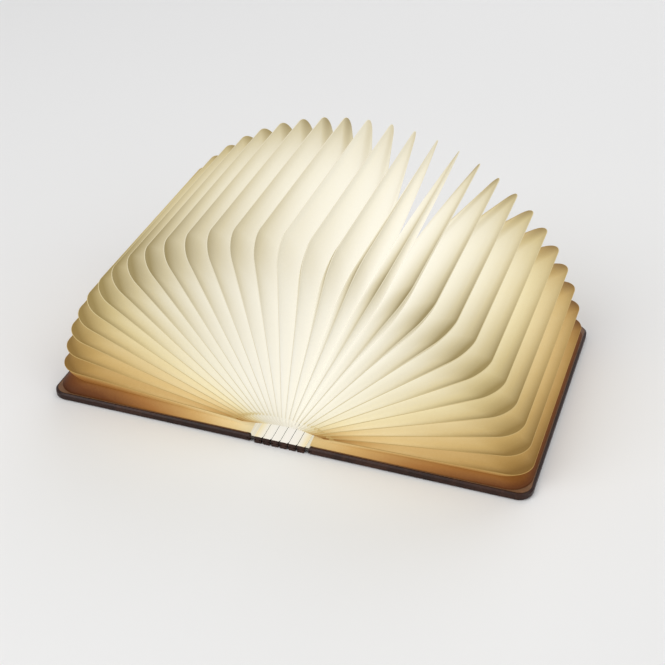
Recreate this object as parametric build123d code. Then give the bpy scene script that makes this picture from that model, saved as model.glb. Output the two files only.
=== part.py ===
from build123d import *
import os

# Folding book lamp, lying open on a table: two wooden covers, a spine of six slats,
# twenty-nine pleat leaves fanned over it and a rechargeable light bar on the spine.
# Millimetres. +X to the right cover, +Y along the spine away from the reader, +Z up.
# The origin is the middle of the underside, on the table.

# Driving dimensions
COVER_WIDTH = 90.0
COVER_LENGTH = 122.0
BOARD = 3.2
SLAT_PITCH = 3.67
SLATS_PER_SIDE = 3
SLIT = 0.65
GROOVE = 1.5
LEAVES_PER_SIDE = 14
LEAF_REACH = 89.6
LEAF_LENGTH = 115.0
LEAF_ROOT = 8.8
LEAF_SEAM = 0.30
LEAF_SHEET = 0.20
RIGHT_TILT = 88.4
LEFT_TILT = 85.6
PIVOT_HEIGHT = 4.0
PIVOT_PITCH = 0.80
CLOSED_PITCH = 0.62
BAR_LENGTH = 98.0
BAR_WIDTH = 11.0

# Covers
COVER_CORNER = 6.0
COVER_EDGE = 0.6
SLAT_EDGE = 0.3
COVER_START = SLATS_PER_SIDE * SLAT_PITCH + GROOVE
MAGNET_RADIUS = 4.0
MAGNET_DEPTH = 2.0
MAGNET_INSET_X = 9.0
MAGNET_INSET_Y = 13.0
TRIGGER_RADIUS = 2.0
TRIGGER_DEPTH = 1.5
TRIGGER_X = 17.0
TRIGGER_Y = 51.0
ENDPAPER = 0.2
ENDPAPER_START = 14.0
ENDPAPER_MARGIN = 1.0

# Hinge cloth, let into a saw kerf along the slats and the covers
CLOTH = 0.4
CLOTH_HOLD = 0.9
GROOVE_HOLD = 1.5
CLOTH_MARGIN = 0.5
KERF_LOW = (BOARD - CLOTH) / 2
KERF_HIGH = (BOARD + CLOTH) / 2

# Leaves
LEAF_CORNER = 9.0
SEAM_BAND = 2.2
SEAM_CORNER = 4.0

# Light bar
TAPE = 0.8
FOOT_WIDTH = 6.4
FOOT_HEIGHT = 1.0
BAR_BODY = 5.6
BAR_WALL = 0.8
BAR_ROUND = 1.2
BAR_BASE_Z = BOARD + TAPE
BAR_FLOOR_Z = BAR_BASE_Z + FOOT_HEIGHT + BAR_WALL
BAR_TOP_Z = BAR_BASE_Z + FOOT_HEIGHT + BAR_BODY
LEDGE = 0.8
LED_BOARD = 0.8
LED_DEPTH = 0.9
LED_BOARD_Z = BAR_TOP_Z - LED_BOARD - LED_DEPTH
LED_BOARD_MARGIN = 2.0
DIFFUSER_RISE = 1.4
DIFFUSER_WALL = 0.7
LED_COUNT = 12
LED_STEP = 7.8
LED_SIZE = (2.8, 3.5, 0.7)
CELL_SIZE = (7.4, 62.0, 2.7)
CELL_Y = -14.0
CELL_ROUND = 0.9
END_CAP = 2.0
CAP_EDGE = 0.5

# Tail of the light bar, with the charging socket
TAIL_END = 60.4
TAIL_WIDTH = 11.4
TAIL_HEIGHT = 5.3
TAIL_WALL = 0.6
TAIL_ROUND = 1.0
PORT_WIDTH = 9.0
PORT_HEIGHT = 3.2
PORT_LENGTH = 7.3
PORT_WALL = 0.35
PORT_Z = BAR_BASE_Z + 2.85
PORT_BACK = 1.0
PORT_RECESS = 0.2
TONGUE = (6.6, 5.0, 0.7)
TONGUE_HOLD = 0.5
CONTROL_BOARD = (8.8, 9.4, 0.6)
BOARD_GAP = 0.2
HALL_SIZE = (2.9, 1.6, 1.1)
HALL_X = 2.6

os.makedirs("parts", exist_ok=True)


def save(name, shape):
    """Write one named piece."""
    shape.label = name
    export_step(shape, f"parts/{name}.step")


def box(x0, x1, y0, y1, z0, z1):
    """A plain block between two corners."""
    block = Box(x1 - x0, y1 - y0, z1 - z0)
    return Pos((x0 + x1) / 2, (y0 + y1) / 2, (z0 + z1) / 2) * block


def along_spine(profile, y0, y1):
    """Extrude an X-Z outline from y0 to y1."""
    plane = Plane(origin=(0, y1, 0), x_dir=(1, 0, 0), z_dir=(0, -1, 0))
    return extrude(plane * profile, amount=y1 - y0)


def outline(points):
    """A closed flat outline through points."""
    return make_face(Polyline(*points, close=True))


def both_sides(name, shape):
    """Write a right-hand piece and its mirror image on the left."""
    save(name + "_right", shape)
    save(name + "_left", mirror(shape, about=Plane.YZ))


def slat(x0, x1):
    """A spine slat with eased long edges and a kerf along each for the hinge cloth."""
    e = SLAT_EDGE
    section = outline([(x0 + e, 0), (x1 - e, 0), (x1, e), (x1, BOARD - e),
                       (x1 - e, BOARD), (x0 + e, BOARD), (x0, BOARD - e), (x0, e)])
    body = along_spine(section, -COVER_LENGTH / 2, COVER_LENGTH / 2)
    for a, b in ((x0 - 1, x0 + CLOTH_HOLD), (x1 - CLOTH_HOLD, x1 + 1)):
        body -= box(a, b, -COVER_LENGTH, COVER_LENGTH, KERF_LOW, KERF_HIGH)
    return body


def cover():
    """The right cover board, with its kerf, magnet pockets and rounded corners."""
    x0, x1 = COVER_START, COVER_START + COVER_WIDTH
    board = box(x0, x1, -COVER_LENGTH / 2, COVER_LENGTH / 2, 0, BOARD)
    outer = board.edges().filter_by(Axis.Z).group_by(Axis.X)[-1]
    board = fillet(outer, COVER_CORNER)
    rims = board.faces().sort_by(Axis.Z)
    board = chamfer(rims[0].edges() + rims[-1].edges(), COVER_EDGE)
    board -= box(x0 - 1, x0 + GROOVE_HOLD, -COVER_LENGTH, COVER_LENGTH, KERF_LOW, KERF_HIGH)
    for place in magnet_places():
        board -= place * Cylinder(MAGNET_RADIUS, MAGNET_DEPTH)
    return board - trigger_place() * Cylinder(TRIGGER_RADIUS, TRIGGER_DEPTH)


def magnet_places():
    """Where the two fore-edge magnets sit, flush with the inner face."""
    x = COVER_START + COVER_WIDTH - MAGNET_INSET_X
    y = COVER_LENGTH / 2 - MAGNET_INSET_Y
    return [Pos(x, side * y, BOARD - MAGNET_DEPTH / 2) for side in (-1, 1)]


def trigger_place():
    """Where the magnet of the opening switch sits in the right cover."""
    return Pos(TRIGGER_X, TRIGGER_Y, BOARD - TRIGGER_DEPTH / 2)


def endpaper():
    """The sheet that ties the pleats to the cover and lines nearly all of it."""
    x1 = COVER_START + COVER_WIDTH - ENDPAPER_MARGIN
    half = COVER_LENGTH / 2 - ENDPAPER_MARGIN
    sheet = box(ENDPAPER_START, x1, -half, half, BOARD, BOARD + ENDPAPER)
    outer = sheet.edges().filter_by(Axis.Z).group_by(Axis.X)[-1]
    return fillet(outer, COVER_CORNER - ENDPAPER_MARGIN)


def hinge_cloth():
    """The cloth in the two moving slits and the cover groove of the right side."""
    strips = [cloth_strip(*slit_cloth(k)) for k in range(1, SLATS_PER_SIDE)]
    last_slat = SLATS_PER_SIDE * SLAT_PITCH - SLIT / 2
    strips.append(cloth_strip(last_slat - CLOTH_HOLD, COVER_START + GROOVE_HOLD))
    return Compound(children=strips)


def slit_cloth(number):
    """Where the cloth in a slit starts and ends; slit 0 is the middle one."""
    reach = SLIT / 2 + CLOTH_HOLD
    return number * SLAT_PITCH - reach, number * SLAT_PITCH + reach


def cloth_strip(x0, x1):
    """A strip of hinge cloth, a little shorter than the boards."""
    y = COVER_LENGTH / 2 - CLOTH_MARGIN
    return box(x0, x1, -y, y, KERF_LOW, KERF_HIGH)


def leaf_outline(inset, ease, size):
    """A leaf seen flat: reach along X, length along Y, fore corners eased."""
    x0, x1 = LEAF_ROOT - inset, LEAF_REACH - inset
    half = LEAF_LENGTH / 2 - inset
    sheet = Pos((x0 + x1) / 2, 0) * Rectangle(x1 - x0, 2 * half)
    return ease(sheet.vertices().sort_by(Axis.X)[2:], size)


def flat_leaf():
    """One leaf lying flat: a thin pouch inside a U-shaped welded seam."""
    whole = leaf_outline(0, fillet, LEAF_CORNER)
    inner = leaf_outline(SEAM_BAND, chamfer, SEAM_CORNER)
    seam = extrude(whole - inner, LEAF_SEAM / 2, both=True)
    return seam + extrude(whole, LEAF_SHEET / 2, both=True)


def leaf(step, last_tilt, flat):
    """The leaf so many steps from the middle one, at its rest tilt on the right."""
    tilt = last_tilt * step / LEAVES_PER_SIDE
    pivot = PIVOT_PITCH * step
    offset = (CLOSED_PITCH - PIVOT_PITCH) * step
    standing = Pos(offset, 0, 0) * Rot(0, -90, 0) * flat
    return Pos(pivot, 0, PIVOT_HEIGHT) * Rot(0, tilt, 0) * standing


def bar_channel():
    """The open channel of the light bar, on a narrow foot."""
    half, foot = BAR_WIDTH / 2, FOOT_WIDTH / 2
    bottom = BAR_BASE_Z + FOOT_HEIGHT
    skin = Pos(0, bottom + BAR_BODY / 2) * RectangleRounded(BAR_WIDTH, BAR_BODY, BAR_ROUND)
    skin += outline([(-half, BAR_TOP_Z - BAR_ROUND), (half, BAR_TOP_Z - BAR_ROUND),
                     (half, BAR_TOP_Z), (-half, BAR_TOP_Z)])
    skin += outline([(-foot, BAR_BASE_Z), (foot, BAR_BASE_Z), (foot, bottom), (-foot, bottom)])
    inner = half - BAR_WALL
    narrow = inner - LEDGE
    hollow = [(-narrow, BAR_FLOOR_Z), (narrow, BAR_FLOOR_Z), (narrow, LED_BOARD_Z),
              (inner, LED_BOARD_Z), (inner, BAR_TOP_Z + 1), (-inner, BAR_TOP_Z + 1),
              (-inner, LED_BOARD_Z), (-narrow, LED_BOARD_Z)]
    return along_spine(skin - outline(hollow), -BAR_LENGTH / 2, BAR_LENGTH / 2)


def diffuser():
    """The frosted lid of the light bar, a shallow arch with two legs in the channel."""
    leg = BAR_WIDTH / 2 - BAR_WALL
    base = LED_BOARD_Z + LED_BOARD
    legs = outline([(-leg, base), (leg, base), (leg, BAR_TOP_Z), (-leg, BAR_TOP_Z)])
    room = leg - DIFFUSER_WALL
    lift = DIFFUSER_RISE - DIFFUSER_WALL
    hollow = make_face([
        Line((-room, BAR_TOP_Z), (-room, base)),
        Line((-room, base), (room, base)),
        Line((room, base), (room, BAR_TOP_Z)),
        ThreePointArc((room, BAR_TOP_Z), (0, BAR_TOP_Z + lift), (-room, BAR_TOP_Z)),
    ])
    return along_spine(arch_outline() + legs - hollow, -BAR_LENGTH / 2, BAR_LENGTH / 2)


def arch_outline():
    """The section of the diffuser's crown."""
    half = BAR_WIDTH / 2
    return make_face([
        Line((-half, BAR_TOP_Z), (half, BAR_TOP_Z)),
        ThreePointArc((half, BAR_TOP_Z), (0, BAR_TOP_Z + DIFFUSER_RISE), (-half, BAR_TOP_Z)),
    ])


def end_outline():
    """The whole end of the light bar above its foot, which the end pieces cover."""
    half = BAR_WIDTH / 2
    bottom = BAR_BASE_Z + FOOT_HEIGHT
    lower = outline([(-half, bottom + BAR_ROUND), (-half + BAR_ROUND, bottom),
                     (half - BAR_ROUND, bottom), (half, bottom + BAR_ROUND),
                     (half, BAR_TOP_Z), (-half, BAR_TOP_Z)])
    return lower + arch_outline()


def end_cap():
    """The cap on the near end of the light bar."""
    cap = along_spine(end_outline(), -BAR_LENGTH / 2 - END_CAP, -BAR_LENGTH / 2)
    return chamfer(cap.faces().sort_by(Axis.Y)[0].edges(), CAP_EDGE)


def port_face(width, height):
    """The rounded outline of the charging socket."""
    return Pos(0, PORT_Z) * SlotOverall(width, height)


def tail():
    """The low housing of the charging socket at the far end of the light bar."""
    half = TAIL_WIDTH / 2
    y0 = BAR_LENGTH / 2
    low, top = BAR_BASE_Z, BAR_BASE_Z + TAIL_HEIGHT
    body = box(-half, half, y0 + END_CAP, TAIL_END, low, top)
    body = fillet(body.edges().filter_by(Axis.Y) + body.edges().filter_by(Axis.Z), TAIL_ROUND)
    body += along_spine(end_outline(), y0, y0 + END_CAP)
    body -= box(-half + TAIL_WALL, half - TAIL_WALL, y0 - 1, TAIL_END - TAIL_WALL,
                low + TAIL_WALL, top - TAIL_WALL)
    body -= along_spine(port_face(PORT_WIDTH, PORT_HEIGHT), TAIL_END - 2 * TAIL_WALL, TAIL_END + 1)
    return body


def port():
    """The charging socket: a rounded metal shell round a flat tongue."""
    y1 = TAIL_END - PORT_RECESS
    y0 = y1 - PORT_LENGTH
    shell = along_spine(port_face(PORT_WIDTH, PORT_HEIGHT), y0, y1)
    room = port_face(PORT_WIDTH - 2 * PORT_WALL, PORT_HEIGHT - 2 * PORT_WALL)
    shell -= along_spine(room, y0 + PORT_BACK, y1 + 1)
    width, length, thick = TONGUE
    root = y0 + TONGUE_HOLD
    return shell + box(-width / 2, width / 2, root, root + length, PORT_Z - thick / 2, PORT_Z + thick / 2)


# Spine
half = (SLAT_PITCH - SLIT) / 2
for number in range(1, 2 * SLATS_PER_SIDE + 1):
    middle = (number - SLATS_PER_SIDE - 0.5) * SLAT_PITCH
    save(f"slat_{number}", slat(middle - half, middle + half))
save("hinge_cloth_middle", cloth_strip(*slit_cloth(0)))
both_sides("hinge_cloth", hinge_cloth())

# Covers
both_sides("cover", cover())
both_sides("endpaper", endpaper())
magnets = [place * Cylinder(MAGNET_RADIUS, MAGNET_DEPTH) for place in magnet_places()]
both_sides("magnets", Compound(children=magnets))
save("trigger_magnet", trigger_place() * Cylinder(TRIGGER_RADIUS, TRIGGER_DEPTH))

# Pleat leaves, numbered from the left cover to the right one; the middle one stands upright
flat = flat_leaf()
middle = LEAVES_PER_SIDE + 1
save(f"leaf_{middle:02d}", leaf(0, 0, flat))
for step in range(1, LEAVES_PER_SIDE + 1):
    save(f"leaf_{middle + step:02d}", leaf(step, RIGHT_TILT, flat))
    save(f"leaf_{middle - step:02d}", mirror(leaf(step, LEFT_TILT, flat), about=Plane.YZ))

# Light bar
half_foot, half_bar = FOOT_WIDTH / 2, BAR_LENGTH / 2
save("foam_tape", box(-half_foot, half_foot, -half_bar, half_bar, BOARD, BAR_BASE_Z))
save("bar_channel", bar_channel())
save("bar_diffuser", diffuser())
save("bar_end_cap", end_cap())
inner = BAR_WIDTH / 2 - BAR_WALL
board_y = half_bar - LED_BOARD_MARGIN
save("led_board", box(-inner, inner, -board_y, board_y, LED_BOARD_Z, LED_BOARD_Z + LED_BOARD))
chips = []
for number in range(LED_COUNT):
    y = (number - (LED_COUNT - 1) / 2) * LED_STEP
    chips.append(Pos(0, y, LED_BOARD_Z + LED_BOARD + LED_SIZE[2] / 2) * Box(*LED_SIZE))
save("led_chips", Compound(children=chips))
cell = Pos(0, CELL_Y, BAR_FLOOR_Z + CELL_SIZE[2] / 2) * Box(*CELL_SIZE)
save("battery_cell", fillet(cell.edges().filter_by(Axis.Y), CELL_ROUND))

# Charging end
save("tail_housing", tail())
save("charge_port", port())
board_top = PORT_Z - PORT_HEIGHT / 2
width, length, thick = CONTROL_BOARD
board_end = TAIL_END - TAIL_WALL - BOARD_GAP
save("control_board",
     box(-width / 2, width / 2, board_end - length, board_end, board_top - thick, board_top))
hall_y = TAIL_END - PORT_LENGTH - HALL_SIZE[1]
save("hall_switch", Pos(HALL_X, hall_y, board_top + HALL_SIZE[2] / 2) * Box(*HALL_SIZE))
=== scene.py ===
import math
import bmesh
import bpy
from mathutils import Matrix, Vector, noise


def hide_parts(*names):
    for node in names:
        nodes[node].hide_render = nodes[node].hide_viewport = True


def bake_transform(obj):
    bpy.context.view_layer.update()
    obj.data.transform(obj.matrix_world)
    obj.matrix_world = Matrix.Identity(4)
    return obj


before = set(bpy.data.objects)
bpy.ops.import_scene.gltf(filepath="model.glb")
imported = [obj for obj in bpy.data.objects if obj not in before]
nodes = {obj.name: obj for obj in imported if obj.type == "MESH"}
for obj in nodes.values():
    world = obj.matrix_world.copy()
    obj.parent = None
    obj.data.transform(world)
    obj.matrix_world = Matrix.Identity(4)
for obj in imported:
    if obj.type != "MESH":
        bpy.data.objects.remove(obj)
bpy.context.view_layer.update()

mm = 0.001

view = {
    "place": (0.1593, -0.4574, 0.3522),
    "turn": -19.01,        # degrees from the spine's direction, to the left
    "dip": 34.73,          # degrees below level
    "lens": 74.32,
    "sensor": 36,
    "clipStart": 0.01,
}


def placeCamera():
    data = bpy.data.cameras.new("camera")
    data.sensor_width = view["sensor"]
    data.lens = view["lens"]
    data.clip_start = view["clipStart"]
    camera = bpy.data.objects.new("camera", data)
    turn, dip = math.radians(view["turn"]), math.radians(view["dip"])
    ahead = Vector((math.sin(turn) * math.cos(dip), math.cos(turn) * math.cos(dip), -math.sin(dip)))
    camera.location = view["place"]
    camera.rotation_euler = ahead.to_track_quat("-Z", "Y").to_euler()
    bpy.context.scene.collection.objects.link(camera)
    bpy.context.scene.camera = camera


studio = {
    "key": ((-0.5, -0.6, 0.9), 0.9, 6.0),      # place, size, watts
    "fill": ((0.9, -0.3, 0.7), 1.2, 4.0),
    "back": ((0.1, 0.9, 0.8), 1.0, 3.5),
    "worldColour": (0.95, 0.96, 1.0, 1),
    "world": 0.5,
    "floor": (0.80, 0.795, 0.78, 1),
    "floorRough": 0.75,
    "floorSize": 6,
}


def lightStudio():
    for name in ("key", "fill", "back"):
        place, size, watts = studio[name]
        source = bpy.data.lights.new(name, "AREA")
        source.shape = "DISK"
        source.size = size
        source.energy = watts
        holder = bpy.data.objects.new(name, source)
        holder.location = place
        holder.rotation_euler = (-Vector(place)).to_track_quat("-Z", "Y").to_euler()
        bpy.context.scene.collection.objects.link(holder)
    world = bpy.data.worlds.new("studio")
    bpy.context.scene.world = world
    world.use_nodes = True
    sky = world.node_tree.nodes["Background"]
    sky.inputs["Color"].default_value = studio["worldColour"]
    sky.inputs["Strength"].default_value = studio["world"]
    bpy.context.scene.view_settings.view_transform = "Standard"


def newMaterial(name):
    mat = bpy.data.materials.new(name)
    mat.use_nodes = True
    return mat


def shader(mat):
    return mat.node_tree.nodes["Principled BSDF"]


def setSocket(mat, socket, value):
    shader(mat).inputs[socket].default_value = value


def addNode(tree, kind, **values):
    node = tree.nodes.new(kind)
    for key, value in values.items():
        setattr(node, key, value)
    return node


def plug(tree, source, target):
    tree.links.new(source, target)


def mathNode(tree, operation, a, b=None, c=None, clamp=False):
    node = addNode(tree, "ShaderNodeMath", operation=operation, use_clamp=clamp)
    for slot, value in enumerate((a, b, c)):
        if value is None:
            continue
        if isinstance(value, (int, float)):
            node.inputs[slot].default_value = value
        else:
            plug(tree, value, node.inputs[slot])
    return node.outputs[0]


def times(tree, a, b):
    # a colour times a colour or a value
    node = addNode(tree, "ShaderNodeMix", data_type="RGBA", blend_type="MULTIPLY")
    node.inputs["Factor"].default_value = 1
    for socket, value in (("A", a), ("B", b)):
        if isinstance(value, tuple):
            node.inputs[socket].default_value = (*value, 1)
        else:
            plug(tree, value, node.inputs[socket])
    return node.outputs["Result"]


def ramp(tree, value, stops):
    node = addNode(tree, "ShaderNodeValToRGB")
    band = node.color_ramp
    while len(band.elements) < len(stops):
        band.elements.new(0.5)
    for element, (at, colour) in zip(band.elements, stops):
        element.position = at
        element.color = (*colour, 1)
    plug(tree, value, node.inputs[0])
    return node.outputs["Color"]


def objectPlace(tree, stretch=(1, 1, 1)):
    place = addNode(tree, "ShaderNodeTexCoord")
    mapping = addNode(tree, "ShaderNodeMapping")
    mapping.inputs["Scale"].default_value = stretch
    plug(tree, place.outputs["Object"], mapping.inputs["Vector"])
    return mapping.outputs["Vector"]


def splitPlace(tree):
    split = addNode(tree, "ShaderNodeSeparateXYZ")
    plug(tree, objectPlace(tree), split.inputs[0])
    return split.outputs


def noiseAt(tree, vector, scale, detail=4.0, rough=0.55, distortion=0.0):
    node = addNode(tree, "ShaderNodeTexNoise")
    plug(tree, vector, node.inputs["Vector"])
    node.inputs["Scale"].default_value = scale
    node.inputs["Detail"].default_value = detail
    node.inputs["Roughness"].default_value = rough
    node.inputs["Distortion"].default_value = distortion
    return node.outputs["Fac"]


def bumpFrom(tree, height, distance, strength=1.0):
    node = addNode(tree, "ShaderNodeBump")
    node.inputs["Strength"].default_value = strength
    node.inputs["Distance"].default_value = distance
    plug(tree, height, node.inputs["Height"])
    return node.outputs["Normal"]


def keepMesh(bm, name, material):
    # writes the bmesh to a new object with this material
    mesh = bpy.data.meshes.new(name)
    bm.to_mesh(mesh)
    bm.free()
    mesh.materials.append(material)
    piece = bpy.data.objects.new(name, mesh)
    bpy.context.scene.collection.objects.link(piece)
    return piece


def layFloor():
    bm = bmesh.new()
    bmesh.ops.create_grid(bm, x_segments=1, y_segments=1, size=studio["floorSize"])
    mat = newMaterial("studioFloor")
    setSocket(mat, "Base Color", studio["floor"])
    setSocket(mat, "Roughness", studio["floorRough"])
    keepMesh(bm, "floor", mat)


placeCamera()
lightStudio()
layFloor()
print("camera, lights and floor")

pleat = {
    "leavesPerSide": 14,      # and one upright leaf in the middle
    "reach": 89.6 * mm,       # of a leaf, from its pivot line to its fore edge
    "halfLength": 57.5 * mm,
    "root": 8.8 * mm,         # the far edges start this far out, clear of the charging end
    "corner": 9.0 * mm,
    "rightTilt": 88.4,        # degrees that the last leaves lean when the book lies open
    "leftTilt": 85.6,
    "pivotPitch": 0.80 * mm,  # between the pivot lines
    "closedPitch": 0.62 * mm,     # between the leaves in the closed book
    "pivotHeight": 4.0 * mm,
    "edge": 0.1 * mm,         # how far the ridges stay inside the leaf's outline
    "seam": 0.15 * mm,
    "valleyReach": 0.66,      # of the reach
    "valleyInset": (15.0 * mm, 33.0 * mm),    # near, far
    "valleyCorner": 14.0 * mm,    # radius
    "valleyEnd": 3.0 * mm,    # how far the valley stays inside the leaf's ends at the spine
    "puff": (1.9, 1.0),       # how round the folds are at the near and the far end
    "nearRoot": 1.5 * mm,     # the near edges start this far out
    "rootZone": 12.0 * mm,
    "rootSetback": 4.5 * mm,  # the near edges draw back over the last of the way to the root
    "spineZone": 32.0 * mm,
    "rootPower": 1.5,         # how sharply the sheets run together in these zones
    "paper": 0.12 * mm,
    "tuck": (1.0, 0.15),      # how far the paper runs on past its valley, at root and fore edge
    "tuckDepth": 1.2 * mm,
    "waveScale": 45,          # the paper isn't quite flat
    "waveStep": 3.1,
    "waveHeight": 0.25 * mm,
    "waveStart": 30 * mm,
    "columns": (16, 10, 14, 10, 16),
    "rows": 9,
}


def lastTilt(step):
    return pleat["leftTilt"] if step < 0 else pleat["rightTilt"]


def leafPoint(step, r, y, lift=0.0):
    # a point of the fan: step counts leaves from the middle, r runs out from the pivot line
    tilt = math.radians(lastTilt(step) * step / pleat["leavesPerSide"])
    # the sheets run together at their roots
    gathered = max(0.0, 1 - r / pleat["rootZone"]) ** pleat["rootPower"]
    offset = (pleat["closedPitch"] - pleat["pivotPitch"]) * step * (1 - gathered) + lift
    x = pleat["pivotPitch"] * step + offset * math.cos(tilt) + r * math.sin(tilt)
    z = pleat["pivotHeight"] - offset * math.sin(tilt) + r * math.cos(tilt)
    return Vector((x, y, z))


def outlineAt(place, reach, nearY, farY, corner, nearRoot, farRoot):
    # a U-shaped outline: near edge, corner, fore edge, corner, far edge; place is a column number
    at = place
    for part, count in enumerate(pleat["columns"]):
        if at <= count:
            break
        at -= count
    share = at / count
    turn = math.radians(90 * share)
    if part == 0:
        return nearRoot + (reach - corner - nearRoot) * share, -nearY
    if part == 1:
        return reach - corner + corner * math.sin(turn), -nearY + corner - corner * math.cos(turn)
    if part == 2:
        return reach, corner - nearY + (nearY + farY - 2 * corner) * share
    if part == 3:
        return reach - corner + corner * math.cos(turn), farY - corner + corner * math.sin(turn)
    return reach - corner + (farRoot - reach + corner) * share, farY


def drawnBack(r, y):
    if y > 0:
        return y
    return y + pleat["rootSetback"] * max(0.0, 1 - r / pleat["root"]) ** pleat["rootPower"]


def ridgeAt(place):
    end = pleat["halfLength"] - pleat["edge"]
    r, y = outlineAt(place, pleat["reach"] - pleat["edge"], end, end,
                     pleat["corner"], pleat["nearRoot"], pleat["root"])
    return r, drawnBack(r, y)


def valleyAt(place):
    near, far = (pleat["halfLength"] - inset for inset in pleat["valleyInset"])
    r, y = outlineAt(place, pleat["reach"] * pleat["valleyReach"], near, far,
                     pleat["valleyCorner"], pleat["nearRoot"], pleat["root"])
    close = max(0.0, 1 - r / pleat["spineZone"])     # close to the spine the folds run together
    end = pleat["halfLength"] - pleat["valleyEnd"]
    y = math.copysign(abs(y) + (end - abs(y)) * close ** pleat["rootPower"], y)
    return r, drawnBack(r, y)


def puffAt(place):
    near, corner, fore = pleat["columns"][:3]
    share = min(1.0, max(0.0, (place - near - corner) / fore))
    return pleat["puff"][0] + (pleat["puff"][1] - pleat["puff"][0]) * share


lamp = {
    "centre": 1.0,            # light through the upright leaves, from 0 to 1
    "sideLoss": 0.45,         # lost at the covers
    "sidePower": (2.6, 2.8),  # left, right
    "reachLoss": 0.05,        # lost at the fore edge
    "farLoss": 0.22,          # lost at the far corners
    "farPower": 6,
    "farMiddle": 0.4,         # the part of it that the upright leaves lose too
    "rootLoss": (0.18, 0.40),     # lost at the roots of the lowest folds, left and right
    "rootFall": 2.2,          # how fast that ends along the reach
    "valleyGain": 0.08,       # gained down in the folds
    "kneeShade": 1.2,         # shade of the ridges at the near corners
    "foreShade": (0.72, 0.45),    # and along the fore edge, near and far
    "nearShade": 0.6,         # and along the near edge, at the corner
    "rootShade": 0.7,         # and at the near root
    "tipShade": 0.95,         # and at the far corners
    "outerShade": 0.5,        # share of the shade on a leaf's outer side
    "endShade": 0.4,          # and on the end folds
    "middleShade": 0.5,       # and of the knees' and edges' shade on the upright leaves
    "middleFall": 2.2,        # how fast it grows from there to the sides
    "middleRoot": 0.35,       # share of the roots' shade on the upright leaves
    "ridgeWidth": 0.10,       # share of the fold that the shade takes
    "kneeWidth": 0.20,
    "nearWidth": 0.5,         # of the knee's width, along the near edge
    "rootWidth": 0.40,
    "tipWidth": 0.30,
    "kneeSpread": 0.8,        # how far the knee's shade runs along the edge, in corners
    "tipSpread": 0.6,
    "rootSpread": 2.5,        # and the root's, in columns
}


def lightLevel(step, r, y):
    tilt = min(1.0, abs(step) / pleat["leavesPerSide"])
    out, end = r / pleat["reach"], max(0.0, y / pleat["halfLength"])
    power, rootLoss = lamp["sidePower"][step > 0], lamp["rootLoss"][step > 0]
    root = rootLoss * max(0.0, 1 - lamp["rootFall"] * out) ** 2 * max(0.0, 2 * tilt - 1)
    far = lamp["farLoss"] * end ** lamp["farPower"] * out * (lamp["farMiddle"] + tilt)
    side = lamp["sideLoss"] * tilt ** power
    return lamp["centre"] - side - root - lamp["reachLoss"] * out ** 2 - far


def ridgeShade(place, depth, step):
    # painted shade along the folds' ridges, most of all at the near corner and at the far tip
    near, corner, fore, farCorner = pleat["columns"][:4]
    tipPlace = near + corner + fore + farCorner / 2
    outward = abs(step) / pleat["leavesPerSide"]
    knee = math.exp(-((place - near - corner / 2) / (lamp["kneeSpread"] * corner)) ** 2)
    tip = math.exp(-((place - tipPlace) / (lamp["tipSpread"] * farCorner)) ** 2)
    root = math.exp(-(place / lamp["rootSpread"]) ** 2)
    root *= lamp["middleRoot"] + (1 - lamp["middleRoot"]) * outward ** 2
    if place < near:
        strength = lamp["nearShade"] * (place / near) ** 2
    else:
        share = min(1.0, max(0.0, (place - near - corner) / fore))
        strength = lamp["foreShade"][0] + (lamp["foreShade"][1] - lamp["foreShade"][0]) * share
    strength += (lamp["kneeShade"] - strength) * knee
    middle = lamp["middleShade"]
    strength *= middle + (1 - middle) * min(1.0, lamp["middleFall"] * outward)
    strength += (lamp["tipShade"] - strength) * tip + lamp["rootShade"] * root
    bend = max(knee, lamp["nearWidth"]) if place < near else knee
    width = lamp["ridgeWidth"] + lamp["kneeWidth"] * bend
    width += lamp["tipWidth"] * tip + lamp["rootWidth"] * root
    return strength * math.exp(-depth / width)


def tuckAt(r):
    root, fore = pleat["tuck"]
    return fore + (root - fore) * max(0.0, 1 - r / (pleat["reach"] * pleat["valleyReach"]))


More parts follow.
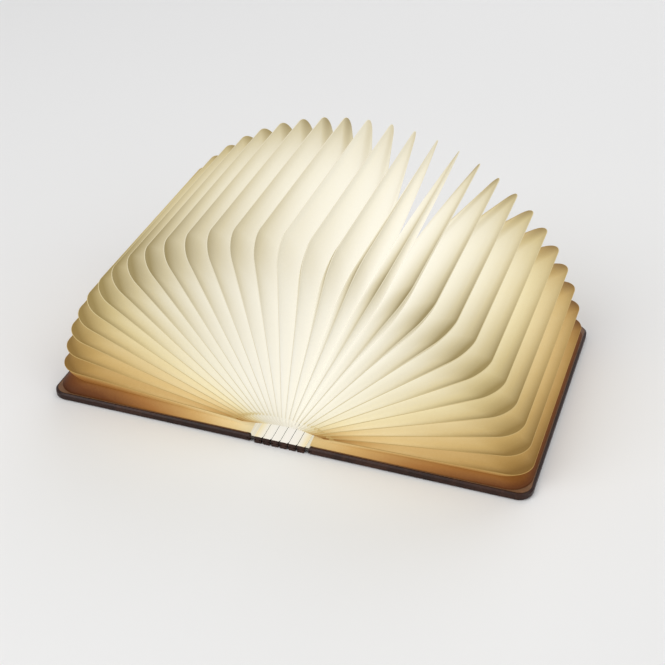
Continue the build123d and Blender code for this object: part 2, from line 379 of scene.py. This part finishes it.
def foldSheet(name, ridgeStep, valleyStep, shadeShare=1.0, deep=1.0, shape=None, light=None):
    # one paper sheet of the fan, from a leaf's seam down to the valley beside it
    bm = bmesh.new()
    columns, rows = sum(pleat["columns"]), pleat["rows"]
    bmesh.ops.create_grid(bm, x_segments=columns, y_segments=rows, size=0.5)
    side = 1 if valleyStep > ridgeStep else -1
    glow = bm.verts.layers.float.new("lampLight")
    shade = bm.verts.layers.float.new("ridgeShade")
    for vert in bm.verts:
        place = (vert.co.x + 0.5) * columns
        row = round((vert.co.y + 0.5) * rows)
        depth = min(1.0, row / (rows - 1) if shape is None else row / rows)
        (r0, y0), (r1, y1) = ridgeAt(place), valleyAt(place)
        r, y = r0 + (r1 - r0) * depth * deep, y0 + (y1 - y0) * depth * deep
        across = 1 - (1 - depth) ** puffAt(place)
        if row == rows and shape is None:     # the last row is tucked in, past the valley
            tuck = tuckAt(r)
            across += tuck
            r = max(pleat["nearRoot"], r - tuck * pleat["tuckDepth"])
            y -= math.copysign(tuck * pleat["tuckDepth"], y)
        step = ridgeStep + (valleyStep - ridgeStep) * across
        scale = pleat["waveScale"]
        spot = Vector((y * scale, r * scale, ridgeStep * pleat["waveStep"]))
        wave = noise.noise(spot) * pleat["waveHeight"]
        wave *= math.sin(math.pi * depth) * min(1, r / pleat["waveStart"])
        lift = side * pleat["seam"] * max(0.0, 1 - across) + wave
        # painted lamp light and painted ridge shade, kept on each point of the sheet
        if light is None:
            vert[glow] = lightLevel(step, r, y) + lamp["valleyGain"] * depth
        else:
            vert[glow] = light(r, y, depth)
        vert[shade] = shadeShare * ridgeShade(place, depth, ridgeStep)
        vert.co = leafPoint(step, r, y, lift) if shape is None else shape(r, y, across, lift)
    for face in bm.faces:
        face.smooth = True
    sheet = keepMesh(bm, name, foldMaterial)
    wall = sheet.modifiers.new("paper", "SOLIDIFY")
    wall.thickness = pleat["paper"]
    wall.offset = 0
    return sheet


# colours of the painted lamp light, from dark brown at the covers to the near-white glow in the
# middle
lampGlowTones = [
    (0.00, (0.060, 0.014, 0.003)),
    (0.12, (0.150, 0.046, 0.007)),
    (0.28, (0.360, 0.155, 0.036)),
    (0.48, (0.600, 0.372, 0.130)),
    (0.64, (0.800, 0.610, 0.300)),
    (0.80, (0.905, 0.815, 0.545)),
    (0.92, (0.920, 0.885, 0.745)),
    (1.00, (0.930, 0.908, 0.820)),
]
shadeTones = [
    (0.0, (1.0, 1.0, 1.0)),
    (0.5, (0.71, 0.66, 0.53)),
    (1.0, (0.36, 0.30, 0.17)),
]
paperFinish = {
    "grain": 0.10,            # how much the fibres vary the light
    "glowInBase": (0.40, 0.39, 0.37),  # the base colour: the painted light and shade, at this share of the glow
    "glow": 0.65,
    "roughness": 0.62,
    "specular": 0.2,
    "fineness": 700,
    "bump": (0.00012, 0.6),   # distance, strength
    "seamShade": (0.25, 0.35),    # on the upright leaf, and gained at the covers
    "swirlDetail": 6,
    "swirlDistortion": 2.6,
    "swirlShare": 0.65,       # of the fibres; the rest are clouds
    "cloud": (90, 3),         # their scale and detail
}


def makeFibreGroup():
    # fine swirled fibres of the paper: a mask round 0.5
    group = bpy.data.node_groups.new("paperFibres", "ShaderNodeTree")
    group.interface.new_socket("Place", in_out="INPUT", socket_type="NodeSocketVector")
    group.interface.new_socket("Fineness", in_out="INPUT", socket_type="NodeSocketFloat")
    group.interface.new_socket("Fibres", in_out="OUTPUT", socket_type="NodeSocketFloat")
    source = addNode(group, "NodeGroupInput")
    result = addNode(group, "NodeGroupOutput")
    swirl = addNode(group, "ShaderNodeTexNoise")
    plug(group, source.outputs["Place"], swirl.inputs["Vector"])
    plug(group, source.outputs["Fineness"], swirl.inputs["Scale"])
    swirl.inputs["Detail"].default_value = paperFinish["swirlDetail"]
    swirl.inputs["Distortion"].default_value = paperFinish["swirlDistortion"]
    cloud = noiseAt(group, source.outputs["Place"], *paperFinish["cloud"])
    share = paperFinish["swirlShare"]
    mixed = mathNode(group, "ADD", mathNode(group, "MULTIPLY", swirl.outputs["Fac"], share),
                     mathNode(group, "MULTIPLY", cloud, 1 - share))
    plug(group, mixed, result.inputs["Fibres"])
    return group


fibreGroup = makeFibreGroup()


def finishPaper(mat, level, shade):
    tree = mat.node_tree
    fibres = addNode(tree, "ShaderNodeGroup", node_tree=fibreGroup)
    plug(tree, objectPlace(tree), fibres.inputs["Place"])
    fibres.inputs["Fineness"].default_value = paperFinish["fineness"]
    grain = fibres.outputs["Fibres"]
    spread = mathNode(tree, "SUBTRACT", grain, 0.5)
    spread = mathNode(tree, "MULTIPLY", spread, paperFinish["grain"])
    varied = mathNode(tree, "ADD", level, spread, clamp=True)
    # painted lamp light and painted ridge shade, in both the base colour and the emission
    glow = times(tree, ramp(tree, varied, lampGlowTones), ramp(tree, shade, shadeTones))
    plug(tree, times(tree, glow, paperFinish["glowInBase"]), shader(mat).inputs["Base Color"])
    plug(tree, glow, shader(mat).inputs["Emission Color"])
    setSocket(mat, "Emission Strength", paperFinish["glow"])
    setSocket(mat, "Roughness", paperFinish["roughness"])
    setSocket(mat, "Specular IOR Level", paperFinish["specular"])
    plug(tree, bumpFrom(tree, grain, *paperFinish["bump"]), shader(mat).inputs["Normal"])


def foldPaper():
    mat = newMaterial("foldPaper")
    light = addNode(mat.node_tree, "ShaderNodeAttribute", attribute_name="lampLight")
    shade = addNode(mat.node_tree, "ShaderNodeAttribute", attribute_name="ridgeShade")
    finishPaper(mat, light.outputs["Fac"], shade.outputs["Fac"])
    return mat


def seamPaper():
    # the leaves' seams: the same painted light and shade, worked out from where the seam is in the
    # fan
    mat = newMaterial("seamPaper")
    tree = mat.node_tree
    place = splitPlace(tree)
    x, rise = place["X"], mathNode(tree, "SUBTRACT", place["Z"], pleat["pivotHeight"])
    lean = mathNode(tree, "ABSOLUTE", mathNode(tree, "ARCTAN2", x, rise))
    tilt = mathNode(tree, "DIVIDE", lean, math.radians(pleat["rightTilt"]), clamp=True)
    outwards = mathNode(tree, "POWER", tilt, lamp["sidePower"][1])
    loss = mathNode(tree, "MULTIPLY", outwards, lamp["sideLoss"])
    level = mathNode(tree, "SUBTRACT", lamp["centre"] - lamp["reachLoss"], loss)
    middle, gain = paperFinish["seamShade"]
    finishPaper(mat, level, mathNode(tree, "MULTIPLY_ADD", tilt, gain, middle))
    return mat


foldMaterial = foldPaper()
seamMaterial = seamPaper()


def leafBody(step):
    return f"leaf_{pleat['leavesPerSide'] + 1 + step:02d}"


def makeFolds():
    for side in (-1, 1):
        for k in range(1, pleat["leavesPerSide"] + 1):
            # the valley lies between leaf k and the one inside it, and turns with both
            body, outer, inner = leafBody(side * k), side * k, side * (k - 1)
            valley = side * (k - 0.5)
            sheet = foldSheet(f"{body}_inner_sheet", outer, valley)
            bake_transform(sheet)
            name = f"{leafBody(inner)}_{'right' if side > 0 else 'left'}_outer_sheet"
            sheet = foldSheet(name, inner, valley, lamp["outerShade"])
            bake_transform(sheet)


makeFolds()
print("folds of the fan")

# the last fold of each side, from the outermost leaf down to the cover's endpaper
lastFold = {
    "coverTop": 3.55 * mm,    # height of its lower edge, on the endpaper
    "coverStart": 12.7 * mm,  # where that edge starts and ends, and half its length
    "coverReach": 101.2 * mm,
    "coverHalf": 59.8 * mm,
    "deep": 0.22,             # share of the other folds' depth
    "rootLight": {"left": 0.76, "right": 0.62},
    "rootPower": 1.7,         # how fast that fades along the reach
    "foreLight": {"left": (0.42, 0.03), "right": (0.52, 0.09)},    # at the last leaf, at the cover
    "downPower": 0.6,         # how fast the one turns into the other
    "leafShare": {"left": 0.90, "right": 0.945},    # the last leaf's share of the cover's own turn
    "turnDepth": {"left": 12.5 * mm, "right": 9.0 * mm},    # this far below the leaf the share is 1
}


def makeLastFolds():
    count = pleat["leavesPerSide"]
    for side, name in ((-1, "left"), (1, "right")):
        def coverPoint(r, y):
            share = (r - pleat["nearRoot"]) / (pleat["reach"] - pleat["nearRoot"])
            x = lastFold["coverStart"] + (lastFold["coverReach"] - lastFold["coverStart"]) * share
            y = (2 * y - drawnBack(r, y)) * lastFold["coverHalf"] / pleat["halfLength"]
            return Vector((side * x, y, lastFold["coverTop"]))

        def upper(r, y, across, lift):
            return leafPoint(side * count, r, y, lift).lerp(coverPoint(r, y), 0.5 * across)

        def lower(r, y, across, lift):
            return coverPoint(r, y).lerp(leafPoint(side * count, r, y), 0.5 * across)

        def fade(r, down):
            root = max(0.0, 1 - r / pleat["reach"]) ** lastFold["rootPower"]
            top, bottom = (level + (lastFold["rootLight"][name] - level) * root
                           for level in lastFold["foreLight"][name])
            return top + (bottom - top) * down ** lastFold["downPower"]

        def upperLight(r, y, depth):
            return fade(r, 0.5 - 0.5 * (1 - depth) ** pleat["puff"][0])

        def lowerLight(r, y, depth):
            return fade(r, 0.5 + 0.5 * (1 - depth) ** pleat["puff"][0])

        for half, shape, light in (("upper", upper, upperLight), ("lower", lower, lowerLight)):
            sheet = foldSheet(f"{name}_end_fold_{half}", side * count, side * (count + 0.5),
                              lamp["endShade"], lastFold["deep"], shape, light)
            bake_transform(sheet)


makeLastFolds()
print("end folds")

wood = {
    "dark": (0.010, 0.0036, 0.0024),
    "mid": (0.026, 0.009, 0.0055),
    "light": (0.055, 0.020, 0.011),
    "tones": (0.34, 0.5, 0.66),   # where on the grain's tone these three are
    "roughness": (0.25, 0.28),    # gained in the pores, and between them
    "poreBump": (0.00008, 0.5),
    "specular": 0.22,
    "coat": 0.04,
    "coatRoughness": 0.3,
}
# share of the tone, then the stretch along Y, scale, detail, roughness and distortion
grainLayers = {
    "bend": (0.40, 0.12, 38, 3, 0.5),
    "broad": (0.35, 0.05, 160, 3, 0.5, 1.2),
    "fine": (0.25, 0.035, 900, 4, 0.6, 0.4),
    "pores": (0.06, 2600, 2, 0.5),    # no share: they have a socket of their own
}


def makeGrainGroup():
    # straight wood grain along Y, with pores: a tone and a height
    group = bpy.data.node_groups.new("woodGrain", "ShaderNodeTree")
    group.interface.new_socket("Tone", in_out="OUTPUT", socket_type="NodeSocketFloat")
    group.interface.new_socket("Pores", in_out="OUTPUT", socket_type="NodeSocketFloat")
    result = addNode(group, "NodeGroupOutput")
    tone = 0.0
    for layer in ("bend", "broad", "fine"):
        share, length, *settings = grainLayers[layer]
        streaks = noiseAt(group, objectPlace(group, (1, length, 1)), *settings)
        tone = mathNode(group, "ADD", tone, mathNode(group, "MULTIPLY", streaks, share))
    length, *settings = grainLayers["pores"]
    pores = noiseAt(group, objectPlace(group, (1, length, 1)), *settings)
    plug(group, tone, result.inputs["Tone"])
    plug(group, pores, result.inputs["Pores"])
    return group


grainGroup = makeGrainGroup()


def walnut(name):
    mat = newMaterial(name)
    tree = mat.node_tree
    grain = addNode(tree, "ShaderNodeGroup", node_tree=grainGroup)
    pores = grain.outputs["Pores"]
    stops = list(zip(wood["tones"], (wood["dark"], wood["mid"], wood["light"])))
    plug(tree, ramp(tree, grain.outputs["Tone"], stops), shader(mat).inputs["Base Color"])
    rough = mathNode(tree, "MULTIPLY_ADD", pores, *wood["roughness"])
    plug(tree, rough, shader(mat).inputs["Roughness"])
    plug(tree, bumpFrom(tree, pores, *wood["poreBump"]), shader(mat).inputs["Normal"])
    setSocket(mat, "Specular IOR Level", wood["specular"])
    setSocket(mat, "Coat Weight", wood["coat"])
    setSocket(mat, "Coat Roughness", wood["coatRoughness"])
    return mat


# painted lamp light on the slats, on the covers' inner ends and on the cloth between them
wash = {
    "slatHalf": 11.0 * mm,    # from the middle to the outer slats' outer edges
    "slatFrom": 1.9 * mm,     # the slats' upper faces and the walls of the slits
    "slatDark": 58.5 * mm,    # from here to the ends only the upper faces are lit
    "slatSlope": -0.5,        # how fast the light's lower edge rises there
    "slatEnd": 60.8 * mm,
    "slatLoss": 0.3,          # light lost at the outer slats
    "slatPower": 4.0,
    "slatSpeck": (0.55, 0.25),    # the grain's middle tone and what the grain adds
    "slatGlow": 0.92,
    "besideStart": 10.6 * mm,     # beside the outer slats it is lit from here outwards
    "besideFrom": 1.7 * mm,   # and from this height up
    "besideEnd": 59.2 * mm,   # and to here along the spine
    "besideGlow": 0.8,
    "speck": 0.1,
    "fineness": 500,
    "woodTone": 0.88,         # light on the wood and on the cloth
    "woodEnd": 14.5 * mm,
    "paperTone": 0.48,        # and on the endpapers, where the end folds leave them bare
    "paperEnd": 28.0 * mm,
}


def besideSlats(tree, end):
    # the upper faces from the outer slats out to this distance, where the lamp light is painted
    place = splitPlace(tree)
    side = mathNode(tree, "ABSOLUTE", place["X"])
    band = mathNode(tree, "MULTIPLY", mathNode(tree, "GREATER_THAN", side, wash["besideStart"]),
                    mathNode(tree, "LESS_THAN", side, end))
    upper = mathNode(tree, "GREATER_THAN", place["Z"], wash["besideFrom"])
    return mathNode(tree, "MULTIPLY", band, upper)


def lightRoots(mat, tone, mask):
    # painted lamp light reaching down beside the outer slats, on to the cloth and the covers' inner
    # ends; tone is its level on the glow ramp
    tree = mat.node_tree
    along = mathNode(tree, "ABSOLUTE", splitPlace(tree)["Y"])
    lit = mathNode(tree, "MULTIPLY", mask, mathNode(tree, "LESS_THAN", along, wash["besideEnd"]))
    grain, speck = noiseAt(tree, objectPlace(tree), wash["fineness"]), wash["speck"]
    level = mathNode(tree, "MULTIPLY_ADD", grain, speck, tone - speck / 2)
    glow = times(tree, ramp(tree, level, lampGlowTones), lit)
    plug(tree, glow, shader(mat).inputs["Emission Color"])
    setSocket(mat, "Emission Strength", wash["besideGlow"])


def litSlats():
    # the slats' upper faces are washed by painted lamp light
    mat = walnut("slatWoodLampWash")
    tree = mat.node_tree
    x, y, z = splitPlace(tree)
    spread = mathNode(tree, "DIVIDE", mathNode(tree, "ABSOLUTE", x), wash["slatHalf"])
    loss = mathNode(tree, "POWER", spread, wash["slatPower"])
    level = mathNode(tree, "SUBTRACT", 1.0, mathNode(tree, "MULTIPLY", loss, wash["slatLoss"]))
    grain = addNode(tree, "ShaderNodeGroup", node_tree=grainGroup)
    middle, share = wash["slatSpeck"]
    speck = mathNode(tree, "SUBTRACT", grain.outputs["Tone"], middle)
    speck = mathNode(tree, "MULTIPLY", speck, share)
    glow = ramp(tree, mathNode(tree, "ADD", level, speck, clamp=True), lampGlowTones)
    along = mathNode(tree, "ABSOLUTE", y)
    pastDark = mathNode(tree, "MAXIMUM", mathNode(tree, "SUBTRACT", along, wash["slatDark"]), 0.0)
    height = mathNode(tree, "MULTIPLY_ADD", pastDark, wash["slatSlope"], z)
    top = mathNode(tree, "GREATER_THAN", height, wash["slatFrom"])
    washed = mathNode(tree, "MULTIPLY", top, mathNode(tree, "LESS_THAN", along, wash["slatEnd"]))
    plug(tree, times(tree, glow, washed), shader(mat).inputs["Emission Color"])
    setSocket(mat, "Emission Strength", wash["slatGlow"])
    return mat


plain = {
    "stops": (0.3, 0.7),      # where the darker and the lighter flecks are on the noise
    "roughSpread": 0.16,
    "bumpStrength": 0.5,
}
# emit is a colour and a strength
plainLooks = {
    "endPaper": {"colour": (0.16, 0.075, 0.03), "rough": 0.6, "fleck": 0.08, "scale": 700,
                 "bump": 0.00008},
    "barPlastic": {"colour": (0.80, 0.79, 0.76), "rough": 0.45},
    "frostedLid": {"colour": (0.9, 0.88, 0.8), "rough": 0.5, "emit": ((1, 0.93, 0.78), 1.0)},
    "foamTape": {"colour": (0.72, 0.72, 0.70), "rough": 0.9, "fleck": 0.1, "scale": 1500,
                 "bump": 0.0002},
    "ledBoard": {"colour": (0.85, 0.85, 0.82), "rough": 0.4},
    "ledPhosphor": {"colour": (0.9, 0.72, 0.2), "rough": 0.4, "emit": ((1, 0.9, 0.7), 2.0)},
    "cellFoil": {"colour": (0.6, 0.61, 0.63), "rough": 0.35, "metal": 0.8},
    "portSteel": {"colour": (0.62, 0.62, 0.63), "rough": 0.28, "fleck": 0.03, "metal": 1.0},
    "controlBoard": {"colour": (0.02, 0.14, 0.06), "rough": 0.35},
    "chipBlack": {"colour": (0.02, 0.02, 0.022), "rough": 0.5},
    "magnetPlating": {"colour": (0.55, 0.55, 0.57), "rough": 0.22, "metal": 1.0},
}


def plainMaterial(name, colour, rough, fleck=0.06, scale=400, metal=0.0, emit=None, bump=0.00003):
    mat = newMaterial(name)
    tree = mat.node_tree
    grain, spread = noiseAt(tree, objectPlace(tree), scale), plain["roughSpread"]
    darker = tuple(max(0, c * (1 - fleck * 2)) for c in colour)
    lighter = tuple(min(1, c * (1 + fleck * 2)) for c in colour)
    stops = list(zip(plain["stops"], (darker, lighter)))
    roughness = mathNode(tree, "MULTIPLY_ADD", grain, spread, rough - spread / 2)
    plug(tree, ramp(tree, grain, stops), shader(mat).inputs["Base Color"])
    plug(tree, roughness, shader(mat).inputs["Roughness"])
    plug(tree, bumpFrom(tree, grain, bump, plain["bumpStrength"]), shader(mat).inputs["Normal"])
    setSocket(mat, "Metallic", metal)
    if emit:
        setSocket(mat, "Emission Color", (*emit[0], 1))
        setSocket(mat, "Emission Strength", emit[1])
    return mat


cloth = {
    "threads": 900,
    "dark": (0.012, 0.009, 0.008),
    "light": (0.04, 0.03, 0.025),
    "bump": (0.0001, 0.8),
    "roughness": 0.85,
    "sheen": 0.3,
}


def wovenCloth():
    mat = newMaterial("hingeCloth")
    tree = mat.node_tree
    warp = addNode(tree, "ShaderNodeTexWave", wave_type="BANDS", bands_direction="X")
    weft = addNode(tree, "ShaderNodeTexWave", wave_type="BANDS", bands_direction="Y")
    for wave in (warp, weft):
        plug(tree, objectPlace(tree), wave.inputs["Vector"])
        wave.inputs["Scale"].default_value = cloth["threads"]
    weave = mathNode(tree, "MAXIMUM", warp.outputs["Fac"], weft.outputs["Fac"])
    stops = [(0.0, cloth["dark"]), (1.0, cloth["light"])]
    plug(tree, ramp(tree, weave, stops), shader(mat).inputs["Base Color"])
    plug(tree, bumpFrom(tree, weave, *cloth["bump"]), shader(mat).inputs["Normal"])
    setSocket(mat, "Roughness", cloth["roughness"])
    setSocket(mat, "Sheen Weight", cloth["sheen"])
    return mat


clothMaterial = wovenCloth()
# painted lamp light on the upper side of the strips that the lampSide attribute marks
lampSide = addNode(clothMaterial.node_tree, "ShaderNodeAttribute", attribute_name="lampSide")
lightRoots(clothMaterial, wash["woodTone"], lampSide.outputs["Fac"])

hingeCloth = {
    "slatPitch": 3.67 * mm,
    "slit": 0.65 * mm,
    "hold": 0.9 * mm,         # what a slat's kerf holds of a strip
    "coverStart": 12.51 * mm,     # the cover's inner end, and what its kerf holds
    "coverHold": 1.5 * mm,
    "height": 1.6 * mm,       # the middle of the boards
    "halfLength": 60.5 * mm,
    "thick": 0.36 * mm,
    "columns": 10,
    "rows": 12,
    "innerShare": 0.5,        # how far the inner slat of a side turns with the outer one
}


def clothStrip(name, side, x0, x1, lit=0.0):
    # a strip of hinge cloth across one slit, its ends held in the boards' kerfs
    bm = bmesh.new()
    columns, rows = hingeCloth["columns"], hingeCloth["rows"]
    bmesh.ops.create_grid(bm, x_segments=columns, y_segments=rows, size=0.5)
    for vert in bm.verts:
        vert.co = (side * (x0 + (x1 - x0) * (vert.co.x + 0.5)),
                   2 * hingeCloth["halfLength"] * vert.co.y, hingeCloth["height"])
    half = hingeCloth["thick"] / 2
    bmesh.ops.solidify(bm, geom=bm.faces[:], thickness=2 * half)
    low = min(vert.co.z for vert in bm.verts)
    upper = bm.verts.layers.float.new("lampSide")
    for vert in bm.verts:
        vert[upper] = lit if vert.co.z > low + half else 0.0
        vert.co.z += hingeCloth["height"] - half - low
    bmesh.ops.recalc_face_normals(bm, faces=bm.faces)
    strip = keepMesh(bm, name, clothMaterial)
    return strip


def makeHingeCloth():
    pitch, slit, hold = hingeCloth["slatPitch"], hingeCloth["slit"], hingeCloth["hold"]
    sides = ((-1, "left", ("slat_2", "slat_1")), (1, "right", ("slat_5", "slat_6")))
    for side, name, slats in sides:
        def across(x):
            return Vector((side * x, 0, hingeCloth["height"]))

        for number, slat in enumerate(slats):
            x = pitch * (number + 1)
            strip = clothStrip(f"{slat}_cloth", side, x - slit / 2 - hold, x + slit / 2 + hold)
            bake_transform(strip)
        edge = pitch * 3 - slit / 2
        strip = clothStrip(f"{name}_cover_cloth", side, edge - hold,
                           hingeCloth["coverStart"] + hingeCloth["coverHold"], 1.0)
        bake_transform(strip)
        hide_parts(f"hinge_cloth_{name}")


makeHingeCloth()
print("hinge cloth")


def dressNodes():
    made = {name: plainMaterial(name, **look) for name, look in plainLooks.items()}
    coverWoodLampWash, endPaper = walnut("coverWoodLampWash"), made["endPaper"]
    # painted lamp light on the covers' inner ends and on the endpapers beside the slats
    lightRoots(coverWoodLampWash, wash["woodTone"], besideSlats(coverWoodLampWash.node_tree, wash["woodEnd"]))
    lightRoots(endPaper, wash["paperTone"], besideSlats(endPaper.node_tree, wash["paperEnd"]))
    finishes = {
        "leaf": seamMaterial,
        "endpaper": endPaper,
        "slat": litSlats(),
        "cover": coverWoodLampWash,
        "hinge_cloth": clothMaterial,
        "magnets": made["magnetPlating"],
        "trigger_magnet": made["magnetPlating"],
        "foam_tape": made["foamTape"],
        "bar": made["barPlastic"],
        "bar_diffuser": made["frostedLid"],
        "tail_housing": made["barPlastic"],
        "led_board": made["ledBoard"],
        "led_chips": made["ledPhosphor"],
        "battery_cell": made["cellFoil"],
        "charge_port": made["portSteel"],
        "control_board": made["controlBoard"],
        "hall_switch": made["chipBlack"],
    }
    for name, piece in nodes.items():
        start = max((key for key in finishes if name.startswith(key)), key=len)
        piece.data.materials.clear()
        piece.data.materials.append(finishes[start])


dressNodes()
print("CAD pieces dressed")
